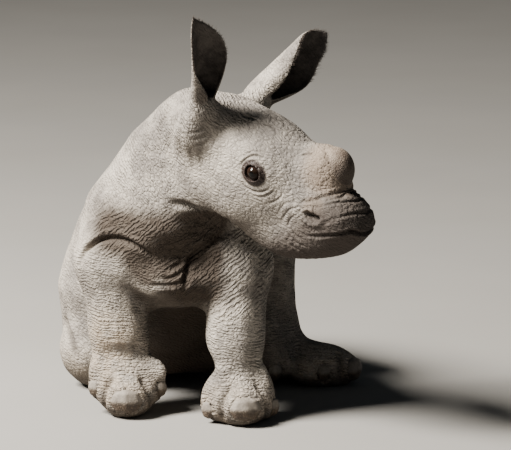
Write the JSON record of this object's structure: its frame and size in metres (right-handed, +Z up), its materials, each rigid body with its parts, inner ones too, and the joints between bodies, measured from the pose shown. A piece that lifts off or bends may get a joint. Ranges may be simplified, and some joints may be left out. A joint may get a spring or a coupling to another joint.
{
  "type": "white rhinoceros calf",
  "caption": "Still model of a newborn white rhinoceros sitting on its hip, forelegs upright, head turned to its left, ears raised.",
  "frame": {"origin": "middle of the bounding box at floor level, under the chest", "axes": "+Z up, -Y the way that the calf's body faces, +X its left side, to which its head is turned"},
  "size_m": [0.555, 0.7872, 0.723],
  "materials": {
    "hide": "dry wrinkled grey skin with short bristles and a little dust",
    "eye": "wet dark brown",
    "horn": "rough dark fibrous horn bud",
    "nail": "smooth pale grey horn, worn at the edge"
  },
  "bodies": {
    "root": {"ear_right": "hide", "ear_left": "hide", "hindleg_right": "hide", "hindleg_left": "hide", "foreleg_left": "hide", "foreleg_right": "hide", "tail": "hide", "head": "hide", "neck": "hide", "trunk": "hide", "eye_left": "eye", "eye_right": "eye", "horn_bud": "horn", "foreleg_left_nail_middle": "nail", "foreleg_left_nail_left": "nail", "foreleg_left_nail_right": "nail", "foreleg_right_nail_middle": "nail", "foreleg_right_nail_left": "nail", "foreleg_right_nail_right": "nail", "hindleg_left_nail_middle": "nail", "hindleg_left_nail_left": "nail", "hindleg_left_nail_right": "nail", "hindleg_right_nail_side": "nail", "hindleg_right_nail_middle": "nail", "hindleg_right_nail_left": "nail"}
  },
  "joints": []
}
